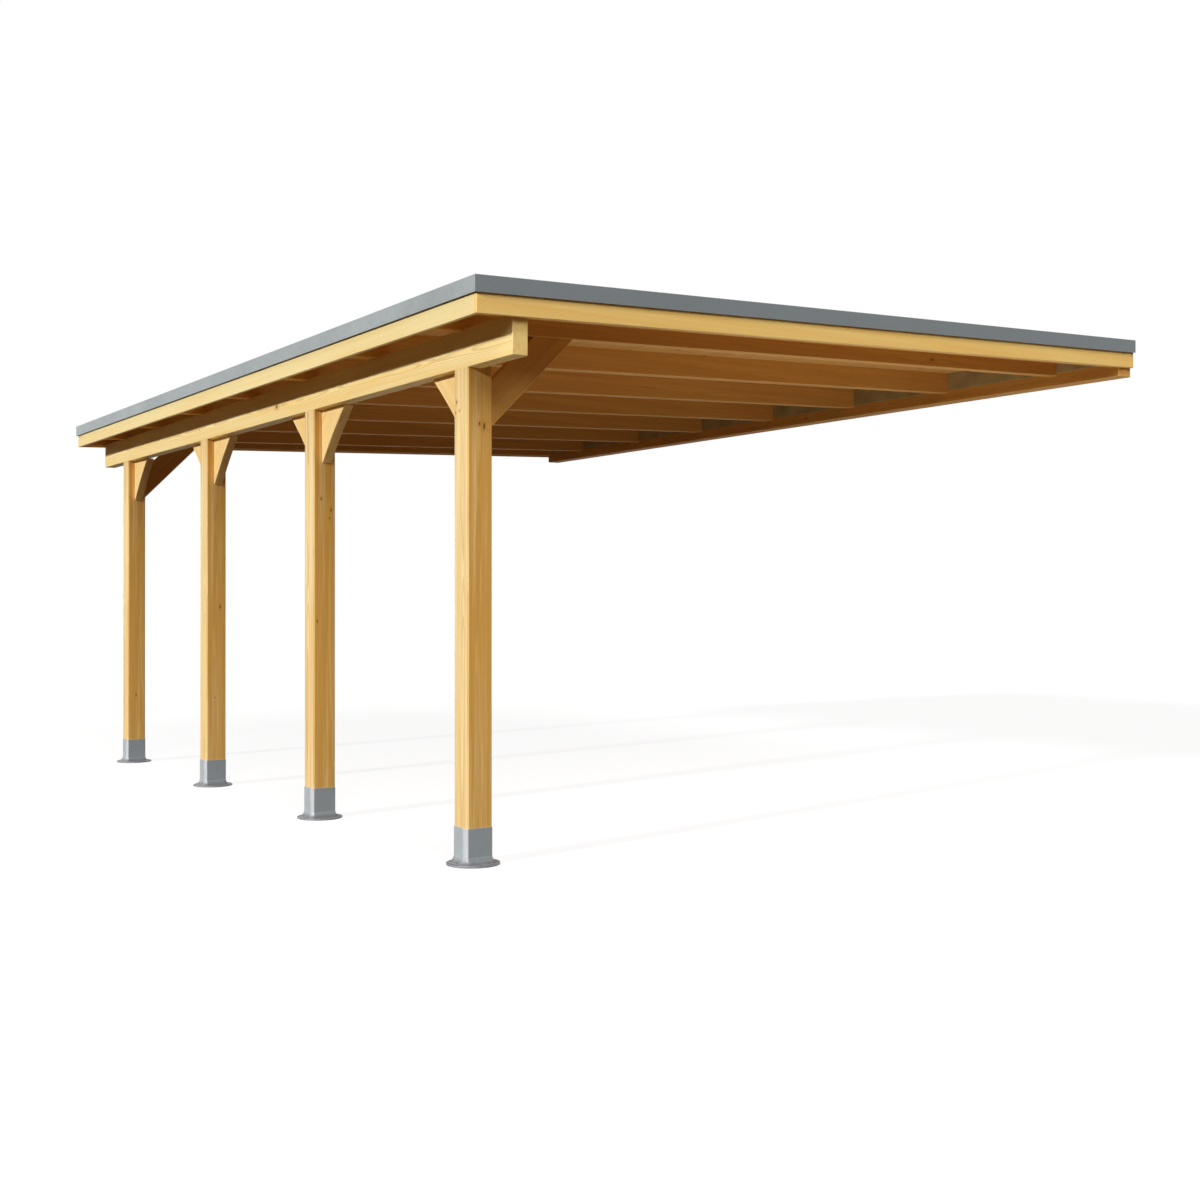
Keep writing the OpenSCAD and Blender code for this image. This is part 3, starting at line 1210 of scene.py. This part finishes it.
@dataclass
class EdgeTrims:
    """The folded metal along the roof's edges.

    A bend lies where a level face meets a plumb outer face with the area of a leg. Level and plumb
    are limits for the upward part of a face's normal.
    """

    nodes: tuple[str, ...] = ("eave_trim", "near_gable_trim", "far_gable_trim", "wall_trim")
    edge: float = 0.0003
    bend: float = 0.0016
    bend_steps: int = 4
    leg_area: float = 0.05
    level: float = 0.9
    plumb: float = 0.1

    def build(self) -> None:
        """Builds and dresses each trim."""
        material = ZincFinish().material("zinc_sheet")
        for node in self.nodes:
            shape = merged_copy(node)
            round_edges(shape, self._bends(shape), self.bend, self.bend_steps)
            round_edges(shape, convex_edges(shape), self.edge, 1)
            finish_piece(shape, f"{node}_sheet", material, Slot.TRIM, node)

    def _bends(self, shape: Shape) -> list[bmesh.types.BMEdge]:
        """Finds where a trim's flat leg is folded down into its outer face.

        Args:
            shape: The trim.

        Returns:
            The edges there.
        """
        middle = (Vector(CAD_BOX[0]) + Vector(CAD_BOX[1])) / 2
        found = []
        for edge in convex_edges(shape):
            flat, upright = sorted(edge.link_faces, key=lambda face: -face.normal.z)
            outer = upright.normal.dot(upright.calc_center_median() - middle) > 0.0
            folded = flat.normal.z > self.level and abs(upright.normal.z) < self.plumb
            if outer and folded and upright.calc_area() > self.leg_area:
                found.append(edge)
        return found


@dataclass
class TrimScrews:
    """Domed screws in a row along the trims' flat legs."""

    roof: RoofPlane
    pitch: float = 0.46
    inset: float = 0.055
    radius: float = 0.0055
    crown_radius: float = 0.00341
    height: float = 0.0024
    sides: int = 16

    def build(self) -> None:
        """Builds and dresses the screws."""
        low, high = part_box("roof_membrane")
        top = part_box("near_gable_trim")[1]
        lift = top.z - self.roof.at(top.x)
        shape = bmesh.new()
        for y in self._row(low.y, high.y):
            self._screw(shape, Vector((low.x + self.inset, y, lift)))
        for x in self._row(low.x + self.pitch, high.x):
            for y in (low.y + self.inset, high.y - self.inset):
                self._screw(shape, Vector((x, y, lift)))
        self.roof.lift(shape)
        finish_piece(shape, "trim_screws", PlatedFinish().material("dull_screws"), Slot.TRIM)

    def _row(self, start: float, end: float) -> list[float]:
        """Even places in a row that stops an inset short of either end.

        Args:
            start: One end.
            end: The other end.

        Returns:
            The places.
        """
        room = end - start - 2 * self.inset
        count = round(room / self.pitch)
        return [start + self.inset + room * step / count for step in range(count + 1)]

    def _screw(self, shape: Shape, place: Vector) -> None:
        """Adds one screw head.

        Args:
            shape: The shape that it is added to.
            place: The middle of its foot, before the roof slopes.
        """
        centre = Matrix.Translation(place + Vector((0.0, 0.0, self.height / 2)))
        made = bmesh.ops.create_cone(
            shape, cap_ends=True, segments=self.sides, radius1=self.radius, radius2=self.crown_radius,
            depth=self.height, matrix=centre,
        )
        for vert in made["verts"]:
            for face in vert.link_faces:
                face.smooth = len(face.verts) == 4


@dataclass
class CheekBolts:
    """Hexagon bolts with washers through each post's cheek into the eave beam.

    A place is a distance along the eave from a post's middle and a height above the beam's seat. Rims
    turn by more than the rim angle and are bevelled, and a head's six corners turn by less.
    """

    nodes: tuple[str, ...]
    places: tuple[tuple[float, float], ...] = ((-0.028, 0.042), (0.028, 0.094))
    washer_radius: float = 0.016
    washer_height: float = 0.0025
    washer_sides: int = 24
    head_radius: float = 0.0105
    head_height: float = 0.0075
    head_sides: int = 6
    edge: float = 0.0006
    rim_angle: float = 1.2

    def build(self) -> None:
        """Builds and dresses the bolts."""
        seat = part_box("eave_beam")[0].z
        shape = bmesh.new()
        for node in self.nodes:
            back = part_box(node)[1].x
            for across, up in self.places:
                place = Vector((back, middle_along(node) + across, seat + up))
                self._disc(shape, place, self.washer_radius, self.washer_height, self.washer_sides)
                place.x += self.washer_height
                self._disc(shape, place, self.head_radius, self.head_height, self.head_sides)
        rims = [edge for edge in convex_edges(shape) if edge.calc_face_angle() > self.rim_angle]
        round_edges(shape, rims, self.edge, 1)
        finish_piece(shape, "cheek_bolts", PlatedFinish().material("plated_bolts"), Slot.BASE)

    def _disc(self, shape: Shape, foot: Vector, radius: float, height: float, sides: int) -> None:
        """Adds a disc that stands out along X.

        Args:
            shape: The shape that it is added to.
            foot: The middle of its foot.
            radius: Its radius.
            height: How far it stands out.
            sides: Its number of sides.
        """
        turn = Matrix.Rotation(math.pi / 2, 4, "Y")
        place = Matrix.Translation(foot + Vector((height / 2, 0.0, 0.0))) @ turn
        bmesh.ops.create_cone(
            shape, cap_ends=True, segments=sides, radius1=radius, radius2=radius, depth=height, matrix=place,
        )


@dataclass
class WallBoards:
    """Pale closing boards that stand on the wall beam's front edge, between the rafters."""

    roof: RoofPlane
    rafters: tuple[str, ...]
    height: float = 0.104
    thickness: float = 0.008
    gap: float = 0.0012
    edge: float = 0.001

    def build(self) -> None:
        """Builds and dresses the boards."""
        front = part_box("wall_beam")[0].x
        boxes = sorted((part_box(node) for node in self.rafters), key=lambda box: box[0].y)
        top = self.roof.at(front - self.thickness)
        shape = bmesh.new()
        for (_, near), (far, _) in zip(boxes, boxes[1:]):
            low = Vector((front - self.thickness, near.y + self.gap, top - self.height))
            add_block(shape, low, Vector((front, far.y - self.gap, top)))
        round_edges(shape, convex_edges(shape), self.edge, 1)
        finish_piece(shape, "wall_boards", BoardFinish().material("closing_board"), Slot.TRIM)


@dataclass(frozen=True)
class Lamp:
    """A far lamp: the way its light travels, its strength, and how wide it looks."""

    name: str
    travel: Point
    strength: float
    spread: float


@dataclass
class Studio:
    """The floor, the light and the camera.

    Where the floor is seen, its own glow and the lamps' light on it make white, and where it throws
    light back it has a warm colour. The camera's turn starts from the way along the eave.
    """

    floor_size: float = 160.0
    floor_colour: Colour = (0.22, 0.22, 0.22)
    floor_glow: Colour = (0.875, 0.875, 0.875)
    floor_bounce: Colour = (0.130, 0.075, 0.036)
    lamps: tuple[Lamp, ...] = (
        Lamp("main_lamp", (1.0, 0.20, -0.33), 2.96, math.radians(3.5)),
        Lamp("fill_lamp", (0.30, 1.0, -0.7), 1.86, math.radians(35.0)),
    )
    panel_size: tuple[float, float] = (2.8, 1.5)
    panel_place: Point = (2.45, -0.55, 0.02)
    panel_power: float = 27.0
    panel_colour: Colour = (1.0, 0.93, 0.78)
    sky_light: Colour = (0.060, 0.042, 0.024)
    camera_place: Point = (-3.0306, -5.4678, 1.1040)
    camera_turn: float = 0.5925
    camera_tilt: float = 0.0028
    lens: float = 43.945
    sensor: float = 36.0

    def build(self) -> None:
        """Builds the stage."""
        self._floor()
        self._sky()
        for lamp in self.lamps:
            self._lamp(lamp)
        self._panel()
        self._camera()

    def _floor(self) -> None:
        """A pale floor that shows white where it is lit, keeps the shadow and throws back a warm light."""
        graph = Graph("pale_floor")
        graph.surface(
            Base_Color=graph.by_ray(self.floor_colour, self.floor_bounce),
            Emission_Color=graph.by_ray(self.floor_glow, BLACK),
            Emission_Strength=1.0, Roughness=1.0, Specular_IOR_Level=0.0,
        )
        shape = bmesh.new()
        bmesh.ops.create_grid(shape, x_segments=1, y_segments=1, size=self.floor_size / 2)
        mesh = bpy.data.meshes.new("floor")
        shape.to_mesh(mesh)
        shape.free()
        mesh.materials.append(graph.material)
        floor = bpy.data.objects.new("floor", mesh)
        bpy.context.scene.collection.objects.link(floor)

    def _sky(self) -> None:
        """A white background, and a plain soft light from all round."""
        world = bpy.data.worlds.new("plain_sky")
        bpy.context.scene.world = world
        world.use_nodes = True
        wiring = Wiring(world.node_tree)
        colour = wiring.by_ray(WHITE, self.sky_light)
        wiring.plug(world.node_tree.nodes["Background"].inputs["Color"], colour)

    def _lamp(self, lamp: Lamp) -> None:
        """Hangs one far lamp.

        Args:
            lamp: The lamp.
        """
        data = bpy.data.lights.new(lamp.name, "SUN")
        data.energy = lamp.strength
        data.angle = lamp.spread
        holder = bpy.data.objects.new(lamp.name, data)
        holder.rotation_mode = "QUATERNION"
        holder.rotation_quaternion = Vector(lamp.travel).to_track_quat("-Z", "Y")
        bpy.context.scene.collection.objects.link(holder)

    def _panel(self) -> None:
        """A soft panel by the near gable that lights the rafters from below."""
        data = bpy.data.lights.new("roof_panel", "AREA")
        data.shape = "RECTANGLE"
        data.size, data.size_y = self.panel_size
        data.energy = self.panel_power
        data.color = self.panel_colour
        holder = bpy.data.objects.new("roof_panel", data)
        holder.location = self.panel_place
        holder.rotation_euler = (math.pi, 0.0, 0.0)
        holder.visible_camera = False
        holder.visible_glossy = False
        bpy.context.scene.collection.objects.link(holder)

    def _camera(self) -> None:
        """A nearly level camera at hip height, out past the near gable."""
        data = bpy.data.cameras.new("camera")
        data.sensor_fit = "HORIZONTAL"
        data.sensor_width = self.sensor
        data.lens = self.lens
        data.clip_end = 2 * self.floor_size
        camera = bpy.data.objects.new("camera", data)
        camera.location = self.camera_place
        camera.rotation_euler = (math.pi / 2 + self.camera_tilt, 0.0, -self.camera_turn)
        bpy.context.scene.collection.objects.link(camera)
        bpy.context.scene.camera = camera


POSTS = tuple(f"post_{i}" for i in range(1, 5))
BASES = tuple(f"post_base_{i}" for i in range(1, 5))
FAR_BRACES = tuple(f"brace_{i}_far" for i in (1, 2, 3))
NEAR_BRACES = tuple(f"brace_{i}_near" for i in (2, 3, 4))
STRUTS = ("strut_1", "strut_4")
RAFTERS = ("near_gable_rafter", *(f"rafter_{i}" for i in range(1, 8)), "far_gable_rafter")
GABLE_FASCIAS = ("near_gable_fascia", "far_gable_fascia")

POST_KNOTS = {
    "post_1": (
        Knot(Face.NEAR, -0.003, 1.865, 0.0045),
        Knot(Face.NEAR, 0.020, 1.856, 0.0062, 2.8),
        Knot(Face.EAVE, 0.037, 1.962, 0.0060, 1.2, 0.9),
        Knot(Face.EAVE, 0.046, 1.917, 0.0050, 1.0, 0.75),
        Knot(Face.EAVE, 0.011, 1.923, 0.0045, 1.0, 0.6),
    ),
    "post_2": (
        Knot(Face.NEAR, -0.018, 1.645, 0.0040),
        Knot(Face.NEAR, 0.036, 1.589, 0.0045, 2.4),
        Knot(Face.NEAR, 0.028, 1.547, 0.0035),
        Knot(Face.NEAR, -0.040, 1.016, 0.0040),
    ),
    "post_3": (
        Knot(Face.NEAR, 0.024, 1.088, 0.0055, 2.4),
        Knot(Face.NEAR, -0.010, 0.537, 0.0030),
    ),
    "post_4": (
        Knot(Face.NEAR, -0.004, 0.470, 0.0045),
    ),
}


def timber_groups() -> list[TimberGroup]:
    """All the timbers, by kind.

    Returns:
        The groups, in the order that they are built in.
    """
    above_eave = Vector((0.05, 0.0, 0.13))
    above_gable = Vector((0.0, 0.05, 0.13))
    return [
        TimberGroup(dict.fromkeys(POSTS, Grain.UPRIGHT), POST_TIMBER, 5.0, arris=0.0012, knots=POST_KNOTS),
        TimberGroup({"eave_beam": Grain.ALONG_EAVE}, BEAM_TIMBER, 9.0),
        TimberGroup(dict.fromkeys(FAR_BRACES, Grain.BRACE_FAR), BRACE_TIMBER, 10.0),
        TimberGroup(dict.fromkeys(NEAR_BRACES, Grain.BRACE_NEAR), BRACE_TIMBER, 11.0),
        TimberGroup(dict.fromkeys(STRUTS, Grain.STRUT), SHADED_ROOF_TIMBER, 6.0),
        TimberGroup(dict.fromkeys(RAFTERS, Grain.DOWN_ROOF), SHADED_ROOF_TIMBER, 7.0),
        TimberGroup({"wall_beam": Grain.ALONG_EAVE}, SHADED_ROOF_TIMBER, 9.0),
        TimberGroup(
            {"eave_fascia": Grain.ALONG_EAVE}, EAVE_BOARD, 11.0, Slot.FASCIA,
            pith_offset=above_eave, side_cut=True,
        ),
        TimberGroup(
            dict.fromkeys(GABLE_FASCIAS, Grain.DOWN_ROOF), GABLE_BOARD, 13.0, Slot.FASCIA,
            pith_offset=above_gable, side_cut=True,
        ),
    ]


def main() -> None:
    """Builds the dressed carport and its stage."""
    logging.basicConfig(level=logging.INFO, format="%(message)s")
    bpy.context.scene.view_settings.view_transform = "Standard"
    roof = RoofPlane()
    for group in timber_groups():
        group.build()
    PostBases(BASES).build()
    DeckBoards(roof, POSTS).build()
    MembraneSheets(roof).build()
    EdgeTrims().build()
    TrimScrews(roof).build()
    CheekBolts(POSTS).build()
    WallBoards(roof, RAFTERS).build()
    Studio().build()


if __name__ == "__main__":
    main()
